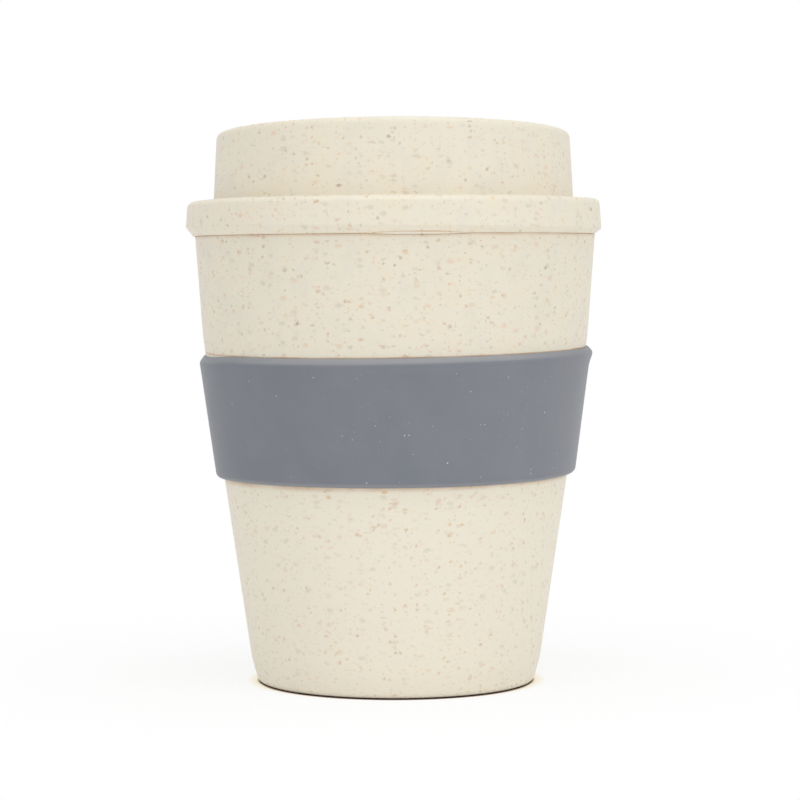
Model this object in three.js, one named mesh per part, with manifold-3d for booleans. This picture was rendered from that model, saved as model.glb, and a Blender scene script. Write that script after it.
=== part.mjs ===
// A tapered drinking cup of speckled straw-filled plastic with a screw lid. The lid has a slanted
// drinking rim, a silicone seal under its flange and a silicone stopper in its sip slot.
// A silicone grip band is stretched round the cup.
// Millimetres, +Z up. The origin is the middle of the foot, on the surface that the cup stands on.
// The drinking side of the lid faces -Y.
import * as THREE from "three";
import { mergeVertices } from "three/addons/utils/BufferGeometryUtils.js";
import Module from "manifold-3d";

const wasm = await Module();
wasm.setup();

// Facets round the axis, along each rounded corner and round small holes
const SIDES = 72;
const CORNER_STEP_ANGLE = 30;
const PLAIN_BEVEL_BELOW = 0.8;
const HOLE_SIDES = 20;

// Cup: outside radii at the table, at the waist where the wall turns steeper, and at the shoulder
const BASE_RADIUS = 31.4;
const WAIST_RADIUS = 42.7;
const WAIST_HEIGHT = 76.5;
const WAIST_BLEND = 90;
const SHOULDER_RADIUS = 44.35;
const SHOULDER_HEIGHT = 98.9;
const SHOULDER_ROUND = 0.3;
const CUP_WALL = 2.4;
const CUP_FLOOR = 2.6;
const INNER_FLOOR_ROUND = 5;
const FOOT_ROUND = 3;
const FOOT_RING_WIDTH = 3;
const FOOT_RECESS = 1.4;

// Neck of the cup, which carries the outside thread
const NECK_STEP = 1.6;
const NECK_WALL = 1.95;
const NECK_HEIGHT = 4.6;
const RIM_ROUND = 0.7;

// Right-hand thread with three starts, on the neck and inside the skirt of the lid
const THREAD_STARTS = 3;
const THREAD_LEAD = 9;
const THREAD_DEPTH = 0.9;
const THREAD_ROOT_WIDTH = 1.3;
const THREAD_CREST_WIDTH = 0.6;
const THREAD_SINK = 0.5;
const THREAD_RADIAL_CLEARANCE = 0.35;
const THREAD_AXIAL_CLEARANCE = 0.3;
const THREAD_FIRST_ANGLE = -100;
const THREAD_STEP_ANGLE = 5;
const THREAD_TAPER_ANGLE = 15;
const CUP_THREAD_RISE = 0.5;
const CUP_THREAD_SWEEP = 130;
const LID_THREAD_RISE = 0.75;
const LID_THREAD_SWEEP = 100;

// Lid: skirt and flange round the neck, collar above them, deck recessed in the collar
const LID_GAP = 0.35;
const SKIRT_WALL = 2;
const SKIRT_LAND = 0.5;
const SKIRT_CHAMFER_HEIGHT = 1.5;
const FLANGE_DRAFT = 0.45;
const FLANGE_PLATE = 2;
const FLANGE_ROUND = 1.4;
const COLLAR_STEP = 4.45;
const COLLAR_DRAFT = 0.8;
const COLLAR_WALL = 2.3;
const COLLAR_HEIGHT = 14.55;
const COLLAR_ROOT_ROUND = 0.6;
const LIP_OUTER_ROUND = 1.3;
const LIP_INNER_ROUND = 0.9;
const RIM_SLANT = 3.1;
const WELL_DEPTH = 9.5;
const WELL_ROUND = 2;
const WELL_DRAFT = 0.25;
const DECK = 2;
const LOCATING_LIP = 1.8;
const LOCATING_LIP_WIDTH = 1.8;

// Seal: a flat ring between the rim of the cup and the flange
const SEAL_THICKNESS = 1.2;
const SEAL_SEAT_GAP = 0.15;
const SEAL_SIDE_GAP = 0.25;

// Openings in the deck
const SLOT_LENGTH = 16;
const SLOT_WIDTH = 7;
const SLOT_FROM_WALL = 7;
const VENT_DIAMETER = 2.4;
const VENT_FROM_WALL = 8;
const STEM_HOLE_DIAMETER = 6.6;
const STEM_PLACE = 2;

// Stopper: a button held in the deck, a strap with a living hinge, and a plug with a finger tab
const STOPPER_CLEARANCE = 0.3;
const STOPPER_SEAT_GAP = 0.15;
const BUTTON_DIAMETER = 13;
const BUTTON_THICKNESS = 2;
const BARB_DIAMETER = 9;
const BARB_TIP_DIAMETER = 7;
const BARB_THICKNESS = 1.8;
const STRAP_WIDTH = 9;
const STRAP_THICKNESS = 1.2;
const HINGE_FROM_STEM = 10;
const HINGE_GAP = 0.3;
const HINGE_BEVEL = 58;
const HEAD_MARGIN = 2.5;
const HEAD_THICKNESS = 2;
const HEAD_BEVEL = 0.5;
const PLUG_BELOW_DECK = 1.8;
const PLUG_TAPER = 0.8;
const TAB_WIDTH = 10;
const TAB_HEIGHT = 4;
const TAB_THICKNESS = 2;

// Grip band: its edges are a little crooked, as it is stretched on by hand
const BAND_FOOT_HEIGHT = 46.1;
const BAND_HEIGHT = 28.4;
const BAND_FOOT_WALL = 1.55;
const BAND_TOP_WALL = 1.2;
const BAND_CLEARANCE = 0.15;
const BAND_OUTER_ROUND = 1;
const BAND_INNER_ROUND = 0.15;
const BAND_TOP_RISE_RIGHT = 1.06;
const BAND_TOP_RISE_BACK = 1.47;
const BAND_FOOT_RISE_RIGHT = 0.4;
const BAND_FOOT_RISE_BACK = 0.55;

// Colours and finish
const STRAW_PLASTIC = { color: 0xe9e2d0, roughness: 0.55, metalness: 0 };
const GREY_SILICONE = { color: 0x7f828a, roughness: 0.8, metalness: 0 };
const CLEAR_SILICONE = { color: 0xd8d8d2, roughness: 0.6, metalness: 0 };

const radians = THREE.MathUtils.degToRad;
const tanDeg = (degrees) => Math.tan(radians(degrees));

// Outside radius of the cup wall at a height
const LOWER_LEAN = (WAIST_RADIUS - BASE_RADIUS) / WAIST_HEIGHT;
const UPPER_LEAN = (SHOULDER_RADIUS - WAIST_RADIUS) / (SHOULDER_HEIGHT - WAIST_HEIGHT);
function wallRadius(z) {
  if (z < WAIST_HEIGHT) {
    return BASE_RADIUS + LOWER_LEAN * z;
  }
  return WAIST_RADIUS + UPPER_LEAN * (z - WAIST_HEIGHT);
}

// Sizes that follow from the ones above
const neckRadius = SHOULDER_RADIUS - NECK_STEP;
const mouthRadius = neckRadius - NECK_WALL;
const rimHeight = SHOULDER_HEIGHT + NECK_HEIGHT;
const floorTop = FOOT_RECESS + CUP_FLOOR;
const skirtInner = neckRadius + THREAD_DEPTH + THREAD_RADIAL_CLEARANCE;
const flangeRadius = skirtInner + SKIRT_WALL;
const skirtFoot = SHOULDER_HEIGHT + LID_GAP;
const sealFoot = rimHeight + SEAL_SEAT_GAP;
const plateUnder = sealFoot + SEAL_THICKNESS + SEAL_SEAT_GAP;
const flangeTop = plateUnder + FLANGE_PLATE;
const rimTop = flangeTop + COLLAR_HEIGHT;
const collarRadius = SHOULDER_RADIUS - COLLAR_STEP;
const collarTopRadius = collarRadius - COLLAR_DRAFT;
const wellRimRadius = collarTopRadius - COLLAR_WALL;
const wellRadius = wellRimRadius - WELL_DRAFT;
const deckTop = rimTop - WELL_DEPTH;
const deckUnder = deckTop - DECK;
const collarInner = collarRadius - COLLAR_WALL;
const lipFoot = plateUnder - LOCATING_LIP;
const lipOuter = collarInner + LOCATING_LIP_WIDTH;
const slotPlace = -(wellRadius - SLOT_FROM_WALL - SLOT_WIDTH / 2);
const ventPlace = wellRadius - VENT_FROM_WALL;
const stopperFoot = deckTop + STOPPER_SEAT_GAP;
const hingePlace = STEM_PLACE - HINGE_FROM_STEM;
const bandTop = BAND_FOOT_HEIGHT + BAND_HEIGHT;

// Points of an outline whose corners are [r, z, rounding radius]
function roundedOutline(corners, closed) {
  const points = [];
  const count = corners.length;
  corners.forEach(([r, z, round], i) => {
    const here = new THREE.Vector2(r, z);
    if (!round || (!closed && (i === 0 || i === count - 1))) {
      points.push(here);
      return;
    }
    const before = corners[(i + count - 1) % count];
    const after = corners[(i + 1) % count];
    const back = new THREE.Vector2(before[0], before[1]).sub(here);
    const on = new THREE.Vector2(after[0], after[1]).sub(here);
    const room = 0.48 * Math.min(back.length(), on.length());
    back.normalize();
    on.normalize();
    const half = Math.acos(THREE.MathUtils.clamp(back.dot(on), -1, 1)) / 2;
    const reach = Math.min(round / Math.tan(half), room);
    const centre = back.clone().add(on).normalize().multiplyScalar(reach / Math.cos(half)).add(here);
    const first = back.multiplyScalar(reach).add(here).sub(centre);
    const last = on.multiplyScalar(reach).add(here).sub(centre);
    const turn = Math.atan2(first.cross(last), first.dot(last));
    const arcs = Math.max(1, Math.round(Math.abs(turn) / radians(CORNER_STEP_ANGLE)));
    const steps = round < PLAIN_BEVEL_BELOW ? 1 : arcs;
    for (let k = 0; k <= steps; k += 1) {
      const at = first.clone().rotateAround(new THREE.Vector2(), (turn * k) / steps);
      points.push(at.add(centre));
    }
  });
  if (closed) {
    points.push(points[0].clone());
  }
  return points;
}

// A solid of revolution round Z from an outline of [r, z, rounding radius] corners
function turned(corners, closed = false, sides = SIDES) {
  const geometry = new THREE.LatheGeometry(roundedOutline(corners, closed), sides);
  return geometry.rotateX(Math.PI / 2);
}

function toSolid(geometry) {
  const bare = geometry.clone();
  bare.deleteAttribute("normal");
  bare.deleteAttribute("uv");
  const joined = mergeVertices(bare, 1e-4);
  const index = joined.index.array;
  const triangles = [];
  for (let i = 0; i < index.length; i += 3) {
    const [a, b, c] = [index[i], index[i + 1], index[i + 2]];
    if (a !== b && b !== c && c !== a) {
      triangles.push(a, b, c);
    }
  }
  const mesh = new wasm.Mesh({
    numProp: 3,
    vertProperties: new Float32Array(joined.attributes.position.array),
    triVerts: new Uint32Array(triangles),
  });
  return new wasm.Manifold(mesh);
}

function toGeometry(solid) {
  const mesh = solid.getMesh();
  const geometry = new THREE.BufferGeometry();
  geometry.setAttribute("position", new THREE.BufferAttribute(mesh.vertProperties, 3));
  geometry.setIndex(new THREE.BufferAttribute(mesh.triVerts, 1));
  return geometry;
}

// Moves every vertex of a geometry by a function of its place
function reshaped(geometry, move) {
  const place = geometry.attributes.position;
  const at = new THREE.Vector3();
  for (let i = 0; i < place.count; i += 1) {
    at.fromBufferAttribute(place, i);
    move(at);
    place.setXYZ(i, at.x, at.y, at.z);
  }
  return geometry;
}

// One ridge of a thread: a four-sided section carried along a helix, run out to nothing at both ends.
// Its root lies at rootRadius, and it stands out by depth, which is negative for an inside thread.
function threadRidge(rootRadius, depth, startAngle, sweep, startHeight) {
  const steps = Math.round(sweep / THREAD_STEP_ANGLE);
  const rootSide = -Math.sign(depth);
  const places = [];
  for (let k = 0; k <= steps; k += 1) {
    const along = (sweep * k) / steps;
    const angle = radians(startAngle + along);
    const z = startHeight + (THREAD_LEAD * along) / 360;
    const share = Math.min(1, along / THREAD_TAPER_ANGLE, (sweep - along) / THREAD_TAPER_ANGLE);
    const sunk = rootRadius + rootSide * THREAD_SINK;
    const crest = rootRadius + depth * share + rootSide * 0.1 * (1 - share);
    const root = THREAD_ROOT_WIDTH / 2;
    const top = THREAD_CREST_WIDTH / 2;
    const section = [[sunk, -root], [crest, -top], [crest, top], [sunk, root]];
    section.forEach(([r, dz]) => places.push(r * Math.cos(angle), r * Math.sin(angle), z + dz));
  }
  const index = [];
  const quad = (a, b, c, d) => index.push(a, b, c, a, c, d);
  for (let k = 0; k < steps; k += 1) {
    for (let i = 0; i < 4; i += 1) {
      const next = (i + 1) % 4;
      quad(4 * k + i, 4 * k + next, 4 * k + 4 + next, 4 * k + 4 + i);
    }
  }
  quad(3, 2, 1, 0);
  quad(4 * steps, 4 * steps + 1, 4 * steps + 2, 4 * steps + 3);
  if (depth > 0) {
    index.reverse();
  }
  const geometry = new THREE.BufferGeometry();
  geometry.setAttribute("position", new THREE.Float32BufferAttribute(places, 3));
  geometry.setIndex(index);
  return geometry;
}

function withThread(body, rootRadius, depth, startAngle, sweep, startHeight) {
  let solid = body;
  for (let k = 0; k < THREAD_STARTS; k += 1) {
    const angle = startAngle + (360 * k) / THREAD_STARTS;
    solid = solid.add(toSolid(threadRidge(rootRadius, depth, angle, sweep, startHeight)));
  }
  return solid;
}

// A flat shape with straight sides and round ends, length along X
function roundEndedShape(length, width) {
  const end = (length - width) / 2;
  const shape = new THREE.Shape();
  shape.absarc(end, 0, width / 2, -Math.PI / 2, Math.PI / 2, false);
  shape.absarc(-end, 0, width / 2, Math.PI / 2, (3 * Math.PI) / 2, false);
  return shape;
}

function upright(shape, height) {
  return new THREE.ExtrudeGeometry(shape, { depth: height, bevelEnabled: false, curveSegments: 8 });
}

function disc(diameter, height) {
  return new THREE.CylinderGeometry(diameter / 2, diameter / 2, height, HOLE_SIDES)
    .rotateX(Math.PI / 2)
    .translate(0, 0, height / 2);
}

// Cup: one moulding with foot ring, wall, neck and thread
function cupBody() {
  const ringInner = BASE_RADIUS - FOOT_ROUND - FOOT_RING_WIDTH;
  const waistInner = WAIST_RADIUS - CUP_WALL;
  const floorRadius = wallRadius(floorTop) - CUP_WALL;
  const outline = [
    [0, FOOT_RECESS, 0],
    [ringInner - 1, FOOT_RECESS, 0.6],
    [ringInner, 0, 0],
    [BASE_RADIUS, 0, FOOT_ROUND],
    [WAIST_RADIUS, WAIST_HEIGHT, WAIST_BLEND],
    [SHOULDER_RADIUS, SHOULDER_HEIGHT, SHOULDER_ROUND],
    [neckRadius, SHOULDER_HEIGHT, 0],
    [neckRadius, rimHeight, RIM_ROUND],
    [mouthRadius, rimHeight, RIM_ROUND],
    [waistInner, WAIST_HEIGHT, WAIST_BLEND],
    [floorRadius, floorTop, INNER_FLOOR_ROUND],
    [0, floorTop, 0],
  ];
  const threadStart = SHOULDER_HEIGHT + CUP_THREAD_RISE;
  const plain = toSolid(turned(outline));
  return toGeometry(
    withThread(plain, neckRadius, THREAD_DEPTH, THREAD_FIRST_ANGLE, CUP_THREAD_SWEEP, threadStart)
  );
}

// Lid: one moulding with skirt, thread, flange, collar and deck
function lidShell() {
  const outline = [
    [0, deckUnder, 0],
    [collarInner, deckUnder, 1.2],
    [collarInner, lipFoot, 0.5],
    [lipOuter, lipFoot, 0.5],
    [lipOuter, plateUnder, 0],
    [skirtInner, plateUnder, 0],
    [skirtInner, skirtFoot, 0],
    [skirtInner + SKIRT_LAND, skirtFoot, 0.3],
    [flangeRadius, skirtFoot + SKIRT_CHAMFER_HEIGHT, 0.5],
    [flangeRadius - FLANGE_DRAFT, flangeTop, FLANGE_ROUND],
    [collarRadius, flangeTop, COLLAR_ROOT_ROUND],
    [collarTopRadius, rimTop, LIP_OUTER_ROUND],
    [wellRimRadius, rimTop, LIP_INNER_ROUND],
    [wellRadius, deckTop, WELL_ROUND],
    [0, deckTop, 0],
  ];
  const slanted = reshaped(turned(outline), (at) => {
    const share = THREE.MathUtils.clamp((at.z - deckTop) / WELL_DEPTH, 0, 1);
    at.z -= at.y * tanDeg(RIM_SLANT) * share;
  });
  // The ridges of the lid lie under the ridges of the cup, on the same helix
  const drop = (THREAD_ROOT_WIDTH + THREAD_CREST_WIDTH) / 2 + THREAD_AXIAL_CLEARANCE;
  const start = skirtFoot + LID_THREAD_RISE;
  const cupStart = SHOULDER_HEIGHT + CUP_THREAD_RISE;
  const angle = THREAD_FIRST_ANGLE + (360 * (start + drop - cupStart)) / THREAD_LEAD;
  const threaded = withThread(
    toSolid(slanted), skirtInner, -THREAD_DEPTH, angle, LID_THREAD_SWEEP, start
  );
  const through = DECK + 2;
  const below = deckUnder - 1;
  const slot = upright(roundEndedShape(SLOT_LENGTH, SLOT_WIDTH), through).translate(0, slotPlace, below);
  const vent = disc(VENT_DIAMETER, through).translate(0, ventPlace, below);
  const stemHole = disc(STEM_HOLE_DIAMETER, through).translate(0, STEM_PLACE, below);
  return toGeometry(
    threaded.subtract(toSolid(slot)).subtract(toSolid(vent)).subtract(toSolid(stemHole))
  );
}

function lidSeal() {
  const inner = lipOuter + SEAL_SIDE_GAP;
  const outer = skirtInner - SEAL_SIDE_GAP;
  const top = sealFoot + SEAL_THICKNESS;
  return turned([[inner, sealFoot, 0], [outer, sealFoot, 0], [outer, top, 0], [inner, top, 0]], true);
}

// A length of strap from the hinge, cut back on a bevel so that it can fold upward.
// direction is 1 towards the back and -1 towards the front.
function strap(direction, length) {
  const near = HINGE_GAP / 2;
  const shape = new THREE.Shape();
  shape.moveTo(near, 0);
  shape.lineTo(length, 0);
  shape.lineTo(length, STRAP_THICKNESS);
  shape.lineTo(near + STRAP_THICKNESS * tanDeg(HINGE_BEVEL), STRAP_THICKNESS);
  const piece = new THREE.ExtrudeGeometry(shape, { depth: STRAP_WIDTH, bevelEnabled: false });
  piece.rotateX(Math.PI / 2).translate(0, STRAP_WIDTH / 2, 0);
  piece.rotateZ((direction * Math.PI) / 2);
  return toSolid(piece.translate(0, hingePlace, stopperFoot));
}

// The fixed half of the stopper: button on the deck, stem through it and barb under it
function stopperAnchor() {
  const stemRadius = STEM_HOLE_DIAMETER / 2 - STOPPER_CLEARANCE;
  const barbTop = deckUnder - STOPPER_SEAT_GAP;
  const outline = [
    [0, barbTop - BARB_THICKNESS, 0],
    [BARB_TIP_DIAMETER / 2, barbTop - BARB_THICKNESS, 0],
    [BARB_DIAMETER / 2, barbTop, 0],
    [stemRadius, barbTop, 0],
    [stemRadius, stopperFoot, 0],
    [BUTTON_DIAMETER / 2, stopperFoot, 0],
    [BUTTON_DIAMETER / 2, stopperFoot + BUTTON_THICKNESS, 0.6],
    [0, stopperFoot + BUTTON_THICKNESS, 0],
  ];
  const button = turned(outline, false, 2 * HOLE_SIDES).translate(0, STEM_PLACE, 0);
  return toGeometry(toSolid(button).add(strap(1, HINGE_FROM_STEM)));
}

// The swinging half of the stopper: strap, head over the slot, plug in the slot, tab for a fingertip
function stopperFlap() {
  const headLength = SLOT_LENGTH + 2 * HEAD_MARGIN;
  const headWidth = SLOT_WIDTH + 2 * HEAD_MARGIN;
  const bevel = { bevelEnabled: true, bevelSegments: 1, bevelSize: HEAD_BEVEL, bevelThickness: HEAD_BEVEL };
  const inset = roundEndedShape(headLength - 2 * HEAD_BEVEL, headWidth - 2 * HEAD_BEVEL);
  const head = new THREE.ExtrudeGeometry(inset, {
    depth: HEAD_THICKNESS - 2 * HEAD_BEVEL, curveSegments: 8, ...bevel,
  }).translate(0, slotPlace, stopperFoot + HEAD_BEVEL);
  const plugFoot = deckUnder - PLUG_BELOW_DECK;
  const plugHeight = stopperFoot + HEAD_THICKNESS / 2 - plugFoot;
  const plugLength = SLOT_LENGTH - 2 * STOPPER_CLEARANCE;
  const plugWidth = SLOT_WIDTH - 2 * STOPPER_CLEARANCE;
  const plug = reshaped(upright(roundEndedShape(plugLength, plugWidth), plugHeight), (at) => {
    const below = THREE.MathUtils.clamp(1 - at.z / (deckTop - plugFoot), 0, 1);
    at.x *= 1 - (2 * PLUG_TAPER * below) / plugLength;
    at.y *= 1 - (2 * PLUG_TAPER * below) / plugWidth;
  }).translate(0, slotPlace, plugFoot);
  const tabRise = HEAD_THICKNESS / 2 + TAB_HEIGHT;
  const tabPlace = slotPlace - headWidth / 2 + TAB_THICKNESS / 2 + HEAD_BEVEL;
  const tab = upright(roundEndedShape(TAB_WIDTH, TAB_THICKNESS), tabRise)
    .translate(0, tabPlace, stopperFoot + HEAD_THICKNESS / 2);
  return toGeometry(
    strap(-1, hingePlace - slotPlace).add(toSolid(head)).add(toSolid(plug)).add(toSolid(tab))
  );
}

// Grip band: follows the cup wall, with crooked edges
function gripBand() {
  const inner = (z) => wallRadius(z) + BAND_CLEARANCE;
  const outline = [
    [inner(BAND_FOOT_HEIGHT), BAND_FOOT_HEIGHT, BAND_INNER_ROUND],
    [inner(BAND_FOOT_HEIGHT) + BAND_FOOT_WALL, BAND_FOOT_HEIGHT, BAND_OUTER_ROUND],
    [inner(bandTop) + BAND_TOP_WALL, bandTop, BAND_OUTER_ROUND],
    [inner(bandTop), bandTop, BAND_INNER_ROUND],
  ];
  const tilt = (foot, top, share) => THREE.MathUtils.lerp(tanDeg(foot), tanDeg(top), share);
  return reshaped(turned(outline, true), (at) => {
    const share = (at.z - BAND_FOOT_HEIGHT) / BAND_HEIGHT;
    const right = at.x * tilt(BAND_FOOT_RISE_RIGHT, BAND_TOP_RISE_RIGHT, share);
    const back = at.y * tilt(BAND_FOOT_RISE_BACK, BAND_TOP_RISE_BACK, share);
    const z = at.z + right + back;
    const radius = Math.hypot(at.x, at.y);
    const grow = (radius + wallRadius(z) - wallRadius(at.z)) / radius;
    at.set(at.x * grow, at.y * grow, z);
  });
}

const row = new THREE.Group();
function addPiece(name, geometry, finish) {
  const mesh = new THREE.Mesh(geometry, new THREE.MeshStandardMaterial(finish));
  mesh.name = name;
  row.add(mesh);
}

addPiece("cup_body", cupBody(), STRAW_PLASTIC);
addPiece("grip_band", gripBand(), GREY_SILICONE);
addPiece("lid_shell", lidShell(), STRAW_PLASTIC);
addPiece("lid_seal", lidSeal(), CLEAR_SILICONE);
addPiece("stopper_anchor", stopperAnchor(), GREY_SILICONE);
addPiece("stopper_flap", stopperFlap(), GREY_SILICONE);

export default row;
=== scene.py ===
import math

import bmesh
import bpy
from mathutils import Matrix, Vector


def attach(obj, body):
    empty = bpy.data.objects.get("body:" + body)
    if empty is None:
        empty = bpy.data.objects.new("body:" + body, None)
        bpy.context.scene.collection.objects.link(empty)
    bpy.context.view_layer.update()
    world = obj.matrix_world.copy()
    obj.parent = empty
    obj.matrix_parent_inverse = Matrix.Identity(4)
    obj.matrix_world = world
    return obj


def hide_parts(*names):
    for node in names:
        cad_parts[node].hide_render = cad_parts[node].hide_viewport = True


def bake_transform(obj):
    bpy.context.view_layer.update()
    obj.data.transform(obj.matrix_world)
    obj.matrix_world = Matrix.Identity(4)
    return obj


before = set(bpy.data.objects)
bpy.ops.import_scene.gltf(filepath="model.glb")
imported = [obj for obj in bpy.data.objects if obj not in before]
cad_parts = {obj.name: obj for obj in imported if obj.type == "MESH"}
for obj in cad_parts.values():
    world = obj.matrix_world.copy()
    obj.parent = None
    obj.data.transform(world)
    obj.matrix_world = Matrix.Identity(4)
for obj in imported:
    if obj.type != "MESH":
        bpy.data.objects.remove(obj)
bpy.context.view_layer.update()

# Cup
# The drinking cup is one moulding of cream plastic filled with ground straw, which shows as flecks.
# It has a foot ring, a wall that turns steeper at the waist, and a neck with a three-start thread.
MM = 0.001
FINE_SIDES = 288
BASE_RADIUS = 31.4
WAIST_RADIUS = 42.7
WAIST_HEIGHT = 76.5
SHOULDER_RADIUS = 44.35
SHOULDER_HEIGHT = 99.12
NECK_RADIUS = 42.75
RIM_HEIGHT = 103.5
MOUTH_RADIUS = 40.8
CUP_WALL = 2.4
FLOOR_TOP = 4.0
FOOT_RECESS = 1.4
FOOT_RING_INNER = 25.4
FOOT_RING_SLOPE = 1.0
FOOT_RADIUS = 30.75
FOOT_ROUND = 1.45
FOOT_TURN = 5.5
GATE_RADIUS = 2.2
GATE_DIMPLE = 0.5
GATE_SLOPE = 0.3
THREAD_STARTS = 3
THREAD_LEAD = 9.0
THREAD_DEPTH = 0.9
THREAD_ROOT = 1.3
THREAD_CREST = 0.5
THREAD_TAPER = 15.0
CUP_THREAD_ANGLE = -100.0
CUP_THREAD_HEIGHT = 99.4
CUP_THREAD_SWEEP = 130.0
NECK_ROWS = 46
WARP = math.tan(math.radians(0.23))
SEAM_SAG = 0.28
SEAM_GAPE = 0.40
SAG_HEIGHT = 3.0
BOW_MIDDLE = 5.0
BOW_HALF = 12.0
WALL_MARGIN = 0.5
SAME_RADIUS = 0.01
ON_AXIS = 1e-6
ARC_ROOM = 0.94
HOLD_LENGTH = 0.35
HOLD_LIMIT = 0.3


def wall_radius(z):
    """Outside radius of the cup wall at a height, in millimetres."""
    if z < WAIST_HEIGHT:
        return BASE_RADIUS + (WAIST_RADIUS - BASE_RADIUS) * z / WAIST_HEIGHT
    share = (z - WAIST_HEIGHT) / (SHOULDER_HEIGHT - WAIST_HEIGHT)
    return WAIST_RADIUS + (SHOULDER_RADIUS - WAIST_RADIUS) * share


def clamped(share):
    return min(1.0, max(0.0, share))


def smooth_step(share):
    share = clamped(share)
    return share * share * (3.0 - 2.0 * share)


def rounded(corners, closed=False, arc_steps=9):
    """Points of an outline given by (radius, height, rounding, rows) corners.

    Each rounding becomes an arc, and rows is the number of steps in the straight stretch after it.
    A point close to each end of a stretch keeps the shading of the stretch even.
    """
    count = len(corners)
    bends = []
    for i, (x, y, rounding, rows) in enumerate(corners):
        here = Vector((x, y))
        back = Vector(corners[i - 1][:2]) - here
        on = Vector(corners[(i + 1) % count][:2]) - here
        half = back.angle(on) / 2 if rounding else math.pi / 2
        bends.append((here, back, on, half, rounding / math.tan(half)))
    arcs = []
    for i, (here, back, on, half, reach) in enumerate(bends):
        if corners[i][2] == 0:
            arcs.append([here])
            continue
        room_before = ARC_ROOM * back.length / (reach + bends[i - 1][4])
        room_after = ARC_ROOM * on.length / (reach + bends[(i + 1) % count][4])
        reach *= min(1.0, room_before, room_after)
        radius = reach * math.tan(half)
        back.normalize()
        on.normalize()
        centre = here + (back + on).normalized() * (reach / math.cos(half))
        first = here + back * reach - centre
        turn = math.pi - 2 * half
        side = 1.0 if back.y * on.x - back.x * on.y > 0 else -1.0
        start = math.atan2(first.y, first.x)
        arc = []
        for k in range(arc_steps + 1):
            angle = start + side * turn * k / arc_steps
            arc.append(centre + radius * Vector((math.cos(angle), math.sin(angle))))
        arcs.append(arc)
    points = []
    for i in range(count):
        points += arcs[i]
        if i == count - 1 and not closed:
            break
        low = arcs[i][-1]
        high = arcs[(i + 1) % count][0]
        rows = corners[i][3]
        length = (high - low).length
        if rows > 1:
            shares = [k / rows for k in range(1, rows)]
        else:
            near = min(HOLD_LENGTH / length, HOLD_LIMIT) if length > 0 else HOLD_LIMIT
            shares = [near, 1 - near]
        points += [low.lerp(high, share) for share in shares]
    return [(p.x, p.y) for p in points]


def on_ring(radius, angle, z):
    return Vector((radius * math.cos(angle), radius * math.sin(angle), z))


def add_turned(bm, points, closed=False, reshape=None, sides=FINE_SIDES):
    """Adds a surface of revolution round Z to bm and returns its rings of vertices."""
    rings = []
    for radius, z in points:
        ring = []
        for k in range(sides if radius > ON_AXIS else 1):
            angle = 2 * math.pi * k / sides
            place = reshape(radius, angle, z) if reshape else on_ring(radius, angle, z)
            ring.append(bm.verts.new(place * MM))
        rings.append(ring)
    following = rings[1:] + (rings[:1] if closed else [])
    for low, high in zip(rings, following):
        for k in range(sides):
            here, after = k % len(low), (k + 1) % len(low)
            there, beyond = k % len(high), (k + 1) % len(high)
            corners = [low[here], low[after], high[beyond], high[there]]
            bm.faces.new(list(dict.fromkeys(corners)))
    return rings


def finished(bm, name, material, node, body=None):
    """Turns bm into a smooth-shaded piece that stands for a CAD node and rides on its body."""
    mesh = bpy.data.meshes.new(name)
    bm.to_mesh(mesh)
    bm.free()
    mesh.polygons.foreach_set("use_smooth", [True] * len(mesh.polygons))
    mesh.materials.append(material)
    piece = bpy.data.objects.new(name, mesh)
    bpy.context.scene.collection.objects.link(piece)
    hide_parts(node)
    if body:
        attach(piece, body)
    return piece


def ridge_height(angle, z, first_angle, first_height, sweep):
    """How far the thread stands out at an angle and height, from 0 to THREAD_DEPTH."""
    best = 0.0
    for start in range(THREAD_STARTS):
        along = (math.degrees(angle) - first_angle - 360.0 * start / THREAD_STARTS) % 360.0
        if along > sweep:
            continue
        away = abs(z - first_height - THREAD_LEAD * along / 360.0)
        flank = 1.0 - (away - THREAD_CREST / 2) / ((THREAD_ROOT - THREAD_CREST) / 2)
        run_out = min(along, sweep - along) / THREAD_TAPER
        best = max(best, THREAD_DEPTH * smooth_step(flank) * smooth_step(run_out))
    return best


def seam_bow(place):
    """How far the seam under the lid gapes, from 0 to 1: most a little right of the front."""
    off_middle = (place.x - BOW_MIDDLE) / BOW_HALF
    return smooth_step(1.0 - off_middle * off_middle) if place.y < 0 else 0.0


def cup_form(radius, angle, z):
    """Adds the thread, and sets the shoulder and neck out of square as the plastic warps.

    The shoulder sags a little right of the front, where the seam under the lid gapes.
    """
    on_wall = radius > NECK_RADIUS + WALL_MARGIN
    if abs(radius - NECK_RADIUS) < SAME_RADIUS:
        radius += ridge_height(angle, z, CUP_THREAD_ANGLE, CUP_THREAD_HEIGHT, CUP_THREAD_SWEEP)
    place = on_ring(radius, angle, z)
    place.z += WARP * place.x * smooth_step((z - WAIST_HEIGHT) / (SHOULDER_HEIGHT - WAIST_HEIGHT))
    if on_wall:
        near_shoulder = smooth_step((z - SHOULDER_HEIGHT + SAG_HEIGHT) / SAG_HEIGHT)
        place.z -= SEAM_SAG * seam_bow(place) * near_shoulder
    return place


def add_node(tree, kind, **settings):
    """Adds a node, sets its properties, and sets or links its inputs."""
    node = tree.nodes.new(kind)
    inputs = settings.pop("inputs", {})
    for name, value in settings.items():
        setattr(node, name, value)
    for key, value in inputs.items():
        if isinstance(value, bpy.types.NodeSocket):
            tree.links.new(value, node.inputs[key])
        else:
            node.inputs[key].default_value = value
    return node


def math_node(tree, operation, first, second=0.0):
    node = add_node(tree, "ShaderNodeMath", operation=operation, inputs={0: first, 1: second})
    return node.outputs[0]


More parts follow.
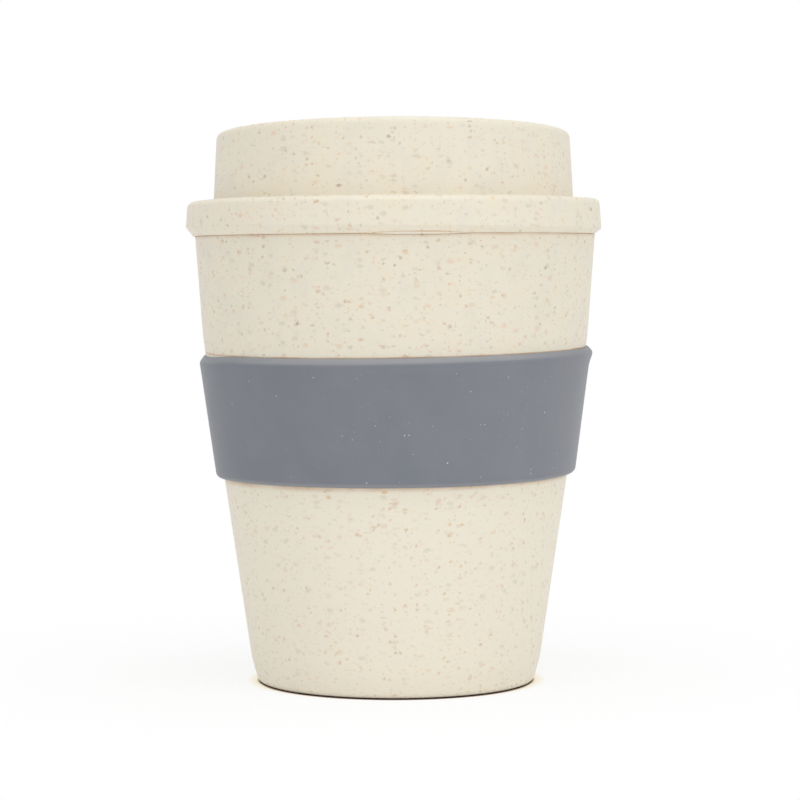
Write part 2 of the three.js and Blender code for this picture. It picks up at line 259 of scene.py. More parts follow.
def srgb(red, green, blue):
    """A colour written as it shows on screen, 0 to 255, as the linear colour that a node takes."""
    def linear(value):
        value /= 255.0
        return value / 12.92 if value <= 0.04045 else ((value + 0.055) / 1.055) ** 2.4
    return (linear(red), linear(green), linear(blue), 1.0)


def colour_ramp(tree, factor, stops):
    ramp = add_node(tree, "ShaderNodeValToRGB", inputs={"Fac": factor})
    elements = ramp.color_ramp.elements
    while len(elements) < len(stops):
        elements.new(1.0)
    for element, (position, colour) in zip(elements, stops):
        element.position = position
        element.color = colour
    return ramp.outputs["Color"]


def mixed(tree, factor, under, over):
    node = add_node(tree, "ShaderNodeMix", data_type="RGBA")
    for socket, value in ((node.inputs[0], factor), (node.inputs[6], under), (node.inputs[7], over)):
        if isinstance(value, bpy.types.NodeSocket):
            tree.links.new(value, socket)
        else:
            socket.default_value = value
    return node.outputs[2]


def group_with(name, inputs, outputs):
    """A new shader node group with its sockets, and its input and output nodes."""
    group = bpy.data.node_groups.new(name, "ShaderNodeTree")
    for socket, kind in inputs:
        group.interface.new_socket(name=socket, in_out="INPUT", socket_type=kind)
    for socket, kind in outputs:
        group.interface.new_socket(name=socket, in_out="OUTPUT", socket_type=kind)
    return group, group.nodes.new("NodeGroupInput"), group.nodes.new("NodeGroupOutput")


# Scattered flecks, one in a share of the cells of a Voronoi pattern, drawn out along one direction
FLECK_SOCKETS_IN = [
    ("Place", "NodeSocketVector"), ("Stretch", "NodeSocketVector"), ("Cell", "NodeSocketFloat"),
    ("Share", "NodeSocketFloat"), ("Largest", "NodeSocketFloat"), ("Softness", "NodeSocketFloat"),
]
FLECK_SOCKETS_OUT = [
    ("Mask", "NodeSocketFloat"), ("Tint", "NodeSocketFloat"), ("Strength", "NodeSocketFloat"),
]
fleck_group, fleck_in, fleck_out = group_with("scattered flecks", FLECK_SOCKETS_IN, FLECK_SOCKETS_OUT)
stretched = add_node(
    fleck_group, "ShaderNodeVectorMath", operation="MULTIPLY",
    inputs={0: fleck_in.outputs["Place"], 1: fleck_in.outputs["Stretch"]},
)
per_cell = math_node(fleck_group, "DIVIDE", 1.0, fleck_in.outputs["Cell"])
cells = add_node(
    fleck_group, "ShaderNodeTexVoronoi",
    inputs={"Vector": stretched.outputs[0], "Scale": per_cell},
)
chance = add_node(fleck_group, "ShaderNodeSeparateColor", inputs={0: cells.outputs["Color"]})
bare_share = math_node(fleck_group, "SUBTRACT", 1.0, fleck_in.outputs["Share"])
over_bare = math_node(fleck_group, "SUBTRACT", chance.outputs[0], bare_share)
size_share = math_node(fleck_group, "DIVIDE", over_bare, fleck_in.outputs["Share"])
largest_in_cell = math_node(fleck_group, "MULTIPLY", fleck_in.outputs["Largest"], per_cell)
fleck_radius = math_node(fleck_group, "MULTIPLY", size_share, largest_in_cell)
inside = math_node(fleck_group, "SUBTRACT", fleck_radius, cells.outputs["Distance"])
softness_in_cell = math_node(fleck_group, "MULTIPLY", fleck_in.outputs["Softness"], per_cell)
edge = math_node(fleck_group, "DIVIDE", inside, softness_in_cell)
mask = add_node(
    fleck_group, "ShaderNodeMapRange", interpolation_type="SMOOTHSTEP",
    inputs={"Value": edge, "From Min": 0.0, "From Max": 1.0},
)
fleck_group.links.new(mask.outputs[0], fleck_out.inputs["Mask"])
fleck_group.links.new(chance.outputs[1], fleck_out.inputs["Tint"])
fleck_group.links.new(chance.outputs[2], fleck_out.inputs["Strength"])


def place_in_mm(tree):
    """The place on the piece in millimetres."""
    coordinates = tree.nodes.new("ShaderNodeTexCoord")
    node = add_node(
        tree, "ShaderNodeVectorMath", operation="SCALE",
        inputs={0: coordinates.outputs["Object"], "Scale": 1.0 / MM},
    )
    return node.outputs[0]


def fleck_layer(tree, place, stretch, cell, share, largest, softness):
    node = tree.nodes.new("ShaderNodeGroup")
    node.node_tree = fleck_group
    tree.links.new(place, node.inputs["Place"])
    node.inputs["Stretch"].default_value = stretch
    node.inputs["Cell"].default_value = cell
    node.inputs["Share"].default_value = share
    node.inputs["Largest"].default_value = largest
    node.inputs["Softness"].default_value = softness
    return node


STRAW_CREAM = srgb(232, 225, 207)
STRAW_CREAM_GREY = srgb(229, 222, 206)
STRAW_CREAM_WARM = srgb(233, 224, 203)
# Paler cream painted in near the foot, standing in for light bounced up from the floor
STRAW_CREAM_FLOOR_LIT = srgb(237, 230, 212)
FOOT_ZONE_FROM = 75.0
FOOT_ZONE_TO = 45.0
FOOT_FLOOR_LIGHT = 0.85
THICK_GHOSTS = 0.80
THICK_WARMTH = 0.42
WARM_TINT = 0.70
FLECK_ORANGE = srgb(224, 172, 108)
FLECK_TAN = srgb(208, 172, 132)
FLECK_PINK_BROWN = srgb(204, 158, 128)
FLECK_BROWN = srgb(150, 110, 84)
FLECK_GREY = srgb(176, 165, 142)
FLECK_DARK = srgb(110, 84, 66)
GHOST_GREY = srgb(213, 206, 187)
GHOST_PINK = srgb(227, 206, 180)
# Tan of the lines of painted shade in the seam under the lid and along the edges of the grip band
SHADE_LINE_TAN = srgb(190, 140, 84)
CREAM_TINTS = [(0.32, STRAW_CREAM_GREY), (0.5, STRAW_CREAM), (0.68, STRAW_CREAM_WARM)]
GHOST_TINTS = [(0.35, GHOST_GREY), (0.65, GHOST_PINK)]
FLECK_TINTS = [
    (0.1, FLECK_GREY), (0.28, FLECK_PINK_BROWN), (0.5, FLECK_TAN), (0.75, FLECK_ORANGE),
    (0.95, FLECK_BROWN),
]
RAGGED_SCALE = 1.7
RAGGED_REACH = 0.9
CLOUD_SCALE = 0.16
PATCH_SCALE = 0.12
PATCH_FROM = 0.35
PATCH_TO = 0.6
PATCH_FAINTEST = 0.5
FLECK_FAINTEST = 0.15
FLECK_DIMPLE = -0.25
SKIN_SCALE = 2.4
SKIN_LOW = 0.3
SKIN_HIGH = 0.7
SKIN_BUMP = 0.25
SKIN_DEPTH = 0.00004
PLASTIC_ROUGHNESS = (0.40, 0.52)
PLASTIC_IOR = 1.46
BAND_FOOT = 46.1
BAND_TOP = 74.0
BAND_FOOT_RISE = (math.tan(math.radians(0.80)), math.tan(math.radians(0.65)))
BAND_TOP_RISE = (math.tan(math.radians(0.79)), math.tan(math.radians(1.21)))
# Tilt to the right and to the back, height, rise in the bow of the seam, reach above and below, and
# strength of each line of painted shade: the two edges of the seam, and the top and foot of the grip band
PAINTED_SHADE_LINES = [
    ((-WARP, 0.0, 1.0), SHOULDER_HEIGHT, -SEAM_SAG, 0.30, 0.80, 0.45),
    ((-WARP, 0.0, 1.0), SHOULDER_HEIGHT, SEAM_GAPE, 0.20, 0.20, 0.90),
    ((-BAND_TOP_RISE[0], -BAND_TOP_RISE[1], 1.0), BAND_TOP, 0.0, 0.40, 0.35, 0.85),
    ((-BAND_FOOT_RISE[0], -BAND_FOOT_RISE[1], 1.0), BAND_FOOT, 0.0, 0.35, 1.25, 0.52),
]
# Stretch, cell, share of cells with a fleck, largest radius, softness and strength of each layer
STRAW_LAYERS = [
    ((0.5, 1.0, 1.0), 1.15, 0.55, 0.54, 0.29, 0.54),
    ((1.0, 0.5, 1.0), 1.15, 0.55, 0.54, 0.29, 0.54),
    ((0.8, 0.8, 1.0), 0.85, 0.55, 0.36, 0.22, 0.51),
    ((1.0, 1.0, 1.0), 0.50, 0.50, 0.18, 0.10, 0.42),
]
GHOST_LAYERS = [
    ((0.6, 0.7, 1.0), 1.4, 0.7, 0.80, 0.50, 0.72),
    ((0.8, 0.8, 1.0), 0.7, 0.6, 0.42, 0.25, 0.55),
]
DARK_LAYER = ((0.7, 1.0, 1.0), 7.0, 0.4, 0.5, 0.2, 0.45)


def towards_foot(tree, height, above, below):
    """A value that changes from above the waist to the foot, where the wall is thick and floor light is
    painted.
    """
    node = add_node(
        tree, "ShaderNodeMapRange",
        inputs={"Value": height, "From Min": FOOT_ZONE_FROM, "From Max": FOOT_ZONE_TO,
                "To Min": above, "To Max": below},
    )
    return node.outputs[0]


def flecked_plastic(name):
    """Cream plastic with ground straw: flecks at the surface, blurred ones below it, a satin skin.

    Near the foot, where the wall is thick, its flecks are warmer and fewer of the blurred ones show,
    and it is painted paler there, standing in for light bounced up from the floor. Tan lines of
    painted shade lie along the seam under the lid and along the edges of the grip band.
    """
    material = bpy.data.materials.new(name)
    material.use_nodes = True
    tree = material.node_tree
    place = place_in_mm(tree)
    wander = add_node(
        tree, "ShaderNodeTexNoise", inputs={"Vector": place, "Scale": RAGGED_SCALE, "Detail": 2.0}
    )
    from_middle = add_node(
        tree, "ShaderNodeVectorMath", operation="SUBTRACT",
        inputs={0: wander.outputs["Color"], 1: (0.5, 0.5, 0.5)},
    )
    ragged = add_node(
        tree, "ShaderNodeVectorMath", operation="MULTIPLY_ADD",
        inputs={0: from_middle.outputs[0], 1: [RAGGED_REACH] * 3, 2: place},
    ).outputs[0]
    cloud = add_node(
        tree, "ShaderNodeTexNoise", inputs={"Vector": place, "Scale": CLOUD_SCALE, "Detail": 3.0}
    )
    colour = colour_ramp(tree, cloud.outputs[0], CREAM_TINTS)
    axes = add_node(tree, "ShaderNodeSeparateXYZ", inputs={0: place})
    # Near the foot the cream is painted paler, standing in for light bounced up from the floor
    floor_light_share = towards_foot(tree, axes.outputs["Z"], 0.0, FOOT_FLOOR_LIGHT)
    ghost_share = towards_foot(tree, axes.outputs["Z"], 1.0, THICK_GHOSTS)
    warmth = towards_foot(tree, axes.outputs["Z"], 0.0, THICK_WARMTH)
    colour = mixed(tree, floor_light_share, colour, STRAW_CREAM_FLOOR_LIT)
    for stretch, cell, share, largest, softness, strength in GHOST_LAYERS:
        ghost = fleck_layer(tree, ragged, stretch, cell, share, largest, softness)
        ghost_colour = colour_ramp(tree, ghost.outputs["Tint"], GHOST_TINTS)
        ghost_shown = math_node(tree, "MULTIPLY", ghost.outputs["Mask"], strength)
        ghost_shown = math_node(tree, "MULTIPLY", ghost_shown, ghost_share)
        colour = mixed(tree, ghost_shown, colour, ghost_colour)
    covered = None
    for stretch, cell, share, largest, softness, strength in STRAW_LAYERS:
        layer = fleck_layer(tree, ragged, stretch, cell, share, largest, softness)
        warmed = add_node(
            tree, "ShaderNodeMix", inputs={0: warmth, 2: layer.outputs["Tint"], 3: WARM_TINT}
        )
        tint = colour_ramp(tree, warmed.outputs[0], FLECK_TINTS)
        depth = add_node(
            tree, "ShaderNodeMapRange",
            inputs={"Value": layer.outputs["Strength"], "To Min": FLECK_FAINTEST * strength,
                    "To Max": strength},
        )
        shown = math_node(tree, "MULTIPLY", layer.outputs["Mask"], depth.outputs[0])
        colour = mixed(tree, shown, colour, tint)
        covered = shown if covered is None else math_node(tree, "MAXIMUM", covered, shown)
    stretch, cell, share, largest, softness, strength = DARK_LAYER
    dark = fleck_layer(tree, ragged, stretch, cell, share, largest, softness)
    dark_shown = math_node(tree, "MULTIPLY", dark.outputs["Mask"], strength)
    colour = mixed(tree, dark_shown, colour, FLECK_DARK)
    patches = add_node(
        tree, "ShaderNodeTexNoise", inputs={"Vector": place, "Scale": PATCH_SCALE, "Detail": 3.0}
    )
    patchy = add_node(
        tree, "ShaderNodeMapRange",
        inputs={"Value": patches.outputs[0], "From Min": PATCH_FROM, "From Max": PATCH_TO,
                "To Min": PATCH_FAINTEST},
    )
    coordinates = tree.nodes.new("ShaderNodeTexCoord")
    sideways = add_node(
        tree, "ShaderNodeVectorMath", operation="MULTIPLY",
        inputs={0: coordinates.outputs["Normal"], 1: (1.0, 1.0, 0.0)},
    )
    from_axis = add_node(
        tree, "ShaderNodeVectorMath", operation="DOT_PRODUCT", inputs={0: sideways.outputs[0], 1: place}
    )
    outside = math_node(tree, "GREATER_THAN", from_axis.outputs["Value"], 0.0)
    patchy_outside = math_node(tree, "MULTIPLY", patchy.outputs[0], outside)
    right_of_bow = math_node(tree, "SUBTRACT", axes.outputs["X"], BOW_MIDDLE)
    off_middle = math_node(tree, "DIVIDE", right_of_bow, BOW_HALF)
    off_squared = math_node(tree, "MULTIPLY", off_middle, off_middle)
    under_bow = math_node(tree, "SUBTRACT", 1.0, off_squared)
    bow_all_round = add_node(
        tree, "ShaderNodeMapRange", interpolation_type="SMOOTHSTEP", inputs={"Value": under_bow}
    )
    in_front = math_node(tree, "LESS_THAN", axes.outputs["Y"], 0.0)
    bow = math_node(tree, "MULTIPLY", bow_all_round.outputs[0], in_front)
    # Tan lines of painted shade along the seam under the lid and along the edges of the grip band
    for tilt, height, rise, above, below, strength in PAINTED_SHADE_LINES:
        tilted = add_node(
            tree, "ShaderNodeVectorMath", operation="DOT_PRODUCT", inputs={0: place, 1: tilt}
        )
        raised = math_node(tree, "MULTIPLY", bow, rise)
        level = math_node(tree, "SUBTRACT", tilted.outputs["Value"], raised)
        over = add_node(
            tree, "ShaderNodeMapRange", interpolation_type="SMOOTHSTEP",
            inputs={"Value": level, "From Min": height, "From Max": height + above,
                    "To Min": strength, "To Max": 0.0},
        )
        under = add_node(
            tree, "ShaderNodeMapRange", interpolation_type="SMOOTHSTEP",
            inputs={"Value": level, "From Min": height - below, "From Max": height},
        )
        painted_shade = math_node(tree, "MULTIPLY", over.outputs[0], under.outputs[0])
        painted_shade = math_node(tree, "MULTIPLY", painted_shade, patchy_outside)
        if rise > 0:
            painted_shade = math_node(tree, "MULTIPLY", painted_shade, bow)
        colour = mixed(tree, painted_shade, colour, SHADE_LINE_TAN)
    skin = add_node(
        tree, "ShaderNodeTexNoise", inputs={"Vector": place, "Scale": SKIN_SCALE, "Detail": 4.0}
    )
    dimples = add_node(
        tree, "ShaderNodeMath", operation="MULTIPLY_ADD",
        inputs={0: covered, 1: FLECK_DIMPLE, 2: skin.outputs[0]},
    )
    bump = add_node(
        tree, "ShaderNodeBump",
        inputs={"Strength": SKIN_BUMP, "Distance": SKIN_DEPTH, "Height": dimples.outputs[0]},
    )
    smoothest, roughest = PLASTIC_ROUGHNESS
    roughness = add_node(
        tree, "ShaderNodeMapRange",
        inputs={"Value": skin.outputs[0], "From Min": SKIN_LOW, "From Max": SKIN_HIGH,
                "To Min": smoothest, "To Max": roughest},
    )
    shader = tree.nodes["Principled BSDF"]
    shader.inputs["IOR"].default_value = PLASTIC_IOR
    tree.links.new(colour, shader.inputs["Base Color"])
    tree.links.new(roughness.outputs[0], shader.inputs["Roughness"])
    tree.links.new(bump.outputs[0], shader.inputs["Normal"])
    return material


straw_plastic = flecked_plastic("straw plastic")
# Radius, height, rounding and rows after it of each corner of the outline, here and in other pieces
cup_outline = rounded([
    (0.0, FOOT_RECESS + GATE_DIMPLE, 0, 1),
    (GATE_RADIUS - GATE_SLOPE, FOOT_RECESS + GATE_DIMPLE, 0.2, 1),
    (GATE_RADIUS, FOOT_RECESS, 0.2, 1),
    (FOOT_RING_INNER - FOOT_RING_SLOPE, FOOT_RECESS, 0.6, 1),
    (FOOT_RING_INNER, 0.0, 0.3, 1),
    (FOOT_RADIUS, 0.0, FOOT_ROUND, 3),
    (wall_radius(FOOT_TURN), FOOT_TURN, 20.0, 24),
    (WAIST_RADIUS, WAIST_HEIGHT, 90.0, 12),
    (SHOULDER_RADIUS, SHOULDER_HEIGHT, 0.07, 1),
    (NECK_RADIUS, SHOULDER_HEIGHT, 0.2, NECK_ROWS),
    (NECK_RADIUS, RIM_HEIGHT, 0.7, 1),
    (MOUTH_RADIUS, RIM_HEIGHT, 0.7, 1),
    (WAIST_RADIUS - CUP_WALL, WAIST_HEIGHT, 90.0, 1),
    (wall_radius(FLOOR_TOP) - CUP_WALL, FLOOR_TOP, 5.0, 1),
    (0.0, FLOOR_TOP, 0, 1),
])
bm = bmesh.new()
add_turned(bm, cup_outline, reshape=cup_form)
cup = finished(bm, "cup_moulding", straw_plastic, "cup_body", "cup")

# Grip band
# A loop of blue-grey silicone, moulded with a bevelled top edge and a rounded foot.
# It is stretched over the cup by hand, so it sits a little crooked, and it picks up lint.
BAND_FOOT_WALL = 1.65
BAND_TOP_WALL = 1.12
BAND_SEAT = 0.05
BAND_BEVEL = 0.85
BAND_BEVEL_HEIGHT = 1.55
BAND_PULL = 0.15
BAND_FLARE = 0.38
BAND_FLARE_SWING = 0.32
BAND_FLARE_HEIGHT = 4.5
BAND_FOOT_WAVE = 0.16
BAND_LEFT_DROP = 0.75
BAND_LEFT_REACH = 0.2
BAND_ROWS = 40


def crooked(radius, angle, z):
    """Tilts the edges of the band, lets its radius follow the cup wall, and flares its top edge.

    The silicone is pulled thinner on the right, and its top edge drops on the left.
    The flare thickens the edge outward, and the inside stays on the cup.
    """
    share = (z - BAND_FOOT) / (BAND_TOP - BAND_FOOT)
    inner = wall_radius(z) + BAND_SEAT
    off_cup = smooth_step((radius - inner) / BAND_TOP_WALL)
    radius = inner + (radius - inner) * (1.0 - BAND_PULL * math.cos(angle) * share)
    x = radius * math.cos(angle)
    y = radius * math.sin(angle)
    right = BAND_FOOT_RISE[0] + (BAND_TOP_RISE[0] - BAND_FOOT_RISE[0]) * share
    back = BAND_FOOT_RISE[1] + (BAND_TOP_RISE[1] - BAND_FOOT_RISE[1]) * share
    moved = z + right * x + back * y + BAND_FOOT_WAVE * (1.0 - share) * math.sin(2 * angle)
    moved -= BAND_LEFT_DROP * share * smooth_step(1.0 - (1.0 + math.cos(angle)) / BAND_LEFT_REACH)
    near_top = smooth_step(1.0 - (BAND_TOP - z) / BAND_FLARE_HEIGHT)
    flare = (BAND_FLARE + BAND_FLARE_SWING * math.cos(angle)) * near_top * off_cup
    return on_ring(radius + flare + wall_radius(moved) - wall_radius(z), angle, moved)


# Lint, dust and painted light on silicone: scattered pale specks, a faint cloudy bloom, dust and painted
# light from above on what faces up, painted fainter towards the sides, painted light from the floor on
# the rounded foot, and a dull patch where the band is handled.
RUBBED_PLACE = (38.0, -22.0, 60.0)
RUBBED_REACH = 48.0
RUBBED_DUST = 0.13
RUBBED_LINT = 0.30
LINT_LAYER = ((1.0, 1.0, 1.0), 1.0, 0.5, 0.22, 0.08)
FINE_LINT_LAYER = ((1.0, 1.0, 1.0), 0.5, 0.5, 0.14, 0.06)
LINT_CONTRAST = 3.0
DRIFT_SCALE = 0.07
DRIFT_FROM = 0.58
DRIFT_TO = 0.72
DRIFT_LINT = 0.5
TOP_FACING_FROM = 0.05
TOP_FACING_TO = 0.75
TOP_DUST_AND_LIGHT = 0.65
FLOOR_LIT_FROM = -0.20
FLOOR_LIT_TO = -0.50
FLOOR_LIT_FOOT = 0.22
SIDE_FADE_FROM = 24.0
SIDE_FADE_TO = 42.0
SIDE_FADE_SHARE = 0.3
BLOOM_SCALE = 0.09
SILICONE_SKIN_SCALE = 3.5
dust_and_light_group, dust_in, dust_and_light_out = group_with(
    "dust on silicone",
    [("Place", "NodeSocketVector"), ("Facing", "NodeSocketVector"), ("Amount", "NodeSocketFloat")],
    [("Specks", "NodeSocketFloat"), ("Dust and light", "NodeSocketFloat"), ("Bloom", "NodeSocketFloat"),
     ("Height", "NodeSocketFloat")],
)
dust_place = dust_in.outputs["Place"]
lint = fleck_layer(dust_and_light_group, dust_place, *LINT_LAYER)
lint_strength = math_node(dust_and_light_group, "POWER", lint.outputs["Strength"], LINT_CONTRAST)
lint_mask = math_node(dust_and_light_group, "MULTIPLY", lint.outputs["Mask"], lint_strength)
fine_lint = fleck_layer(dust_and_light_group, dust_place, *FINE_LINT_LAYER)
drift = add_node(
    dust_and_light_group, "ShaderNodeTexNoise",
    inputs={"Vector": dust_place, "Scale": DRIFT_SCALE, "Detail": 2.0},
)
drifted = add_node(
    dust_and_light_group, "ShaderNodeMapRange",
    inputs={"Value": drift.outputs[0], "From Min": DRIFT_FROM, "From Max": DRIFT_TO,
            "To Max": DRIFT_LINT},
)
from_rub = add_node(
    dust_and_light_group, "ShaderNodeVectorMath", operation="DISTANCE", inputs={0: dust_place, 1: RUBBED_PLACE}
)
rubbed = add_node(
    dust_and_light_group, "ShaderNodeMapRange", interpolation_type="SMOOTHSTEP",
    inputs={"Value": from_rub.outputs["Value"], "From Min": 0.0, "From Max": RUBBED_REACH,
            "To Min": 1.0, "To Max": 0.0},
)
rubbed_lint = math_node(dust_and_light_group, "MULTIPLY", rubbed.outputs[0], RUBBED_LINT)
fine_strength = math_node(dust_and_light_group, "MAXIMUM", drifted.outputs[0], rubbed_lint)
fine_mask = math_node(dust_and_light_group, "MULTIPLY", fine_lint.outputs["Mask"], fine_strength)
speck_mask = math_node(dust_and_light_group, "MAXIMUM", lint_mask, fine_mask)
speck_amount = math_node(dust_and_light_group, "MULTIPLY", speck_mask, dust_in.outputs["Amount"])
facing = add_node(dust_and_light_group, "ShaderNodeSeparateXYZ", inputs={0: dust_in.outputs["Facing"]})
# Lighter on what faces up: dust, and painted light from above
top_dust_and_light = add_node(
    dust_and_light_group, "ShaderNodeMapRange", interpolation_type="SMOOTHSTEP",
    inputs={"Value": facing.outputs["Z"], "From Min": TOP_FACING_FROM, "From Max": TOP_FACING_TO,
            "To Max": TOP_DUST_AND_LIGHT},
)
dust_axes = add_node(dust_and_light_group, "ShaderNodeSeparateXYZ", inputs={0: dust_place})
to_side = math_node(dust_and_light_group, "ABSOLUTE", dust_axes.outputs["X"])
# The dust and painted top light are made fainter towards the left and right sides
side_fade = add_node(
    dust_and_light_group, "ShaderNodeMapRange",
    inputs={"Value": to_side, "From Min": SIDE_FADE_FROM, "From Max": SIDE_FADE_TO,
            "To Min": 1.0, "To Max": SIDE_FADE_SHARE},
)
top_dust_and_light_kept = math_node(dust_and_light_group, "MULTIPLY", top_dust_and_light.outputs[0], side_fade.outputs[0])
rubbed_dust = math_node(dust_and_light_group, "MULTIPLY", rubbed.outputs[0], RUBBED_DUST)
# Painted light from the floor: lighter on what faces down, such as the rounded foot
floor_lit_foot = add_node(
    dust_and_light_group, "ShaderNodeMapRange",
    inputs={"Value": facing.outputs["Z"], "From Min": FLOOR_LIT_FROM, "From Max": FLOOR_LIT_TO,
            "To Max": FLOOR_LIT_FOOT},
)
dust_and_floor_light = math_node(dust_and_light_group, "MAXIMUM", rubbed_dust, floor_lit_foot.outputs[0])
# Dust, together with the painted light from above and from the floor
dust_and_painted_light = math_node(dust_and_light_group, "MAXIMUM", top_dust_and_light_kept, dust_and_floor_light)
dust_and_light_amount = math_node(dust_and_light_group, "MULTIPLY", dust_and_painted_light, dust_in.outputs["Amount"])
bloom = add_node(
    dust_and_light_group, "ShaderNodeTexNoise",
    inputs={"Vector": dust_place, "Scale": BLOOM_SCALE, "Detail": 4.0, "Roughness": 0.6},
)
bloom_amount = math_node(dust_and_light_group, "MULTIPLY", bloom.outputs[0], dust_in.outputs["Amount"])
fine_skin = add_node(
    dust_and_light_group, "ShaderNodeTexNoise",
    inputs={"Vector": dust_place, "Scale": SILICONE_SKIN_SCALE, "Detail": 3.0},
)
dust_and_light_group.links.new(speck_amount, dust_and_light_out.inputs["Specks"])
dust_and_light_group.links.new(dust_and_light_amount, dust_and_light_out.inputs["Dust and light"])
dust_and_light_group.links.new(bloom_amount, dust_and_light_out.inputs["Bloom"])
dust_and_light_group.links.new(fine_skin.outputs[0], dust_and_light_out.inputs["Height"])

BLOOM_FROM = 0.25
BLOOM_TO = 0.75
SILICONE_ROUGHNESS = (0.56, 0.68)
SILICONE_BUMP = 0.3
SILICONE_IOR = 1.41
SILICONE_SHEEN = 0.2
SHEEN_ROUGHNESS = 0.35


def silicone(name, deep, pale, dust_and_light_colour, speck, amount):
    """Matt silicone with bloom, lint, dust and painted light from above, and painted floor light below.
    """
    material = bpy.data.materials.new(name)
    material.use_nodes = True
    tree = material.node_tree
    # The dust group also paints light: from above on what faces up, from the floor on what faces down
    dust = tree.nodes.new("ShaderNodeGroup")
    dust.node_tree = dust_and_light_group
    tree.links.new(place_in_mm(tree), dust.inputs["Place"])
    coordinates = tree.nodes.new("ShaderNodeTexCoord")
    tree.links.new(coordinates.outputs["Normal"], dust.inputs["Facing"])
    dust.inputs["Amount"].default_value = amount
    bloom_tints = [(BLOOM_FROM * amount, deep), (BLOOM_TO * amount, pale)]
    colour = colour_ramp(tree, dust.outputs["Bloom"], bloom_tints)
    colour = mixed(tree, dust.outputs["Dust and light"], colour, dust_and_light_colour)
    colour = mixed(tree, dust.outputs["Specks"], colour, speck)
    smoothest, roughest = SILICONE_ROUGHNESS
    roughness = add_node(
        tree, "ShaderNodeMapRange",
        inputs={"Value": dust.outputs["Bloom"], "From Max": amount,
                "To Min": smoothest, "To Max": roughest},
    )
    bump = add_node(
        tree, "ShaderNodeBump",
        inputs={"Strength": SILICONE_BUMP, "Distance": SKIN_DEPTH, "Height": dust.outputs["Height"]},
    )
    shader = tree.nodes["Principled BSDF"]
    shader.inputs["IOR"].default_value = SILICONE_IOR
    shader.inputs["Sheen Weight"].default_value = SILICONE_SHEEN
    shader.inputs["Sheen Roughness"].default_value = SHEEN_ROUGHNESS
    tree.links.new(colour, shader.inputs["Base Color"])
    tree.links.new(roughness.outputs[0], shader.inputs["Roughness"])
    tree.links.new(bump.outputs[0], shader.inputs["Normal"])
    return material


SILICONE_DEEP = srgb(118, 122, 130)
SILICONE_PALE = srgb(126, 129, 136)
# Colour of dust and of the painted light on what faces up and down
SILICONE_DUST_AND_LIGHT = srgb(168, 168, 171)
LINT = srgb(205, 206, 208)
BAND_DUST_AND_LIGHT = 1.0
grey_silicone = silicone(
    "grey silicone", SILICONE_DEEP, SILICONE_PALE, SILICONE_DUST_AND_LIGHT, LINT, BAND_DUST_AND_LIGHT
)
foot_inner = wall_radius(BAND_FOOT) + BAND_SEAT
top_inner = wall_radius(BAND_TOP) + BAND_SEAT
band_outline = rounded([
    (foot_inner, BAND_FOOT, 0.15, 1),
    (foot_inner + BAND_FOOT_WALL, BAND_FOOT, 1.3, BAND_ROWS),
    (top_inner + BAND_TOP_WALL, BAND_TOP - BAND_BEVEL_HEIGHT, 1.6, 3),
    (top_inner + BAND_TOP_WALL - BAND_BEVEL, BAND_TOP, 0.4, 1),
    (top_inner, BAND_TOP, 0.08, BAND_ROWS),
], closed=True)
bm = bmesh.new()
add_turned(bm, band_outline, closed=True, reshape=crooked)
band = finished(bm, "silicone_band", grey_silicone, "grip_band", "band")

# Lid
# The screw lid is one moulding of the same straw plastic: a skirt with an inside thread, a flange,
# a collar cut on a slant to make the drinking lip, and a sunken deck with sip slot and vent hole.
SKIRT_INNER = 44.0
SKIRT_FOOT = 99.15
SKIRT_LAND = 0.5
SKIRT_CHAMFER = 1.6
SKIRT_CHAMFER_SWING = 0.25
FLANGE_RADIUS = 46.1
FLANGE_TOP_RADIUS = 45.65
FLANGE_TOP = 107.0
PLATE_UNDER = 105.0
COLLAR_RADIUS = 39.9
COLLAR_TOP_RADIUS = 39.1
RIM_TOP = 121.55
RIM_SLANT = math.tan(math.radians(3.1))
WELL_RIM_RADIUS = 36.8
WELL_RADIUS = 36.55
DECK_TOP = 112.05
DECK_UNDER = 110.05
DECK_FILL_RADIUS = 33.5
COLLAR_INNER = 37.6
LIP_FOOT = 103.2
LIP_OUTER = 39.4
SLOT_LENGTH = 16.0
SLOT_WIDTH = 7.0
SLOT_PLACE = -26.05
VENT_DIAMETER = 2.4
VENT_PLACE = 28.55
STEM_HOLE = 6.6
STEM_PLACE = 2.0
HOLE_ROUND = 0.5
HOLE_STEPS = 6
WELD_DISTANCE = 1e-7
LID_PLAY = 0.3
FLANGE_SAG = 0.4
FLANGE_SAG_REACH = 0.25
FLANGE_SAG_START = 3.0
SKIRT_MARGIN = 0.2
LID_THREAD_HEIGHT = 100.0
LID_THREAD_SWEEP = 100.0
LID_THREAD_WIDTH = 0.6
THREAD_CLEARANCE = 0.3
LID_THREAD_DROP = (THREAD_ROOT + LID_THREAD_WIDTH) / 2 + THREAD_CLEARANCE
LID_THREAD_ANGLE = CUP_THREAD_ANGLE + 360.0 * (
    LID_THREAD_HEIGHT + LID_THREAD_DROP - CUP_THREAD_HEIGHT
) / THREAD_LEAD


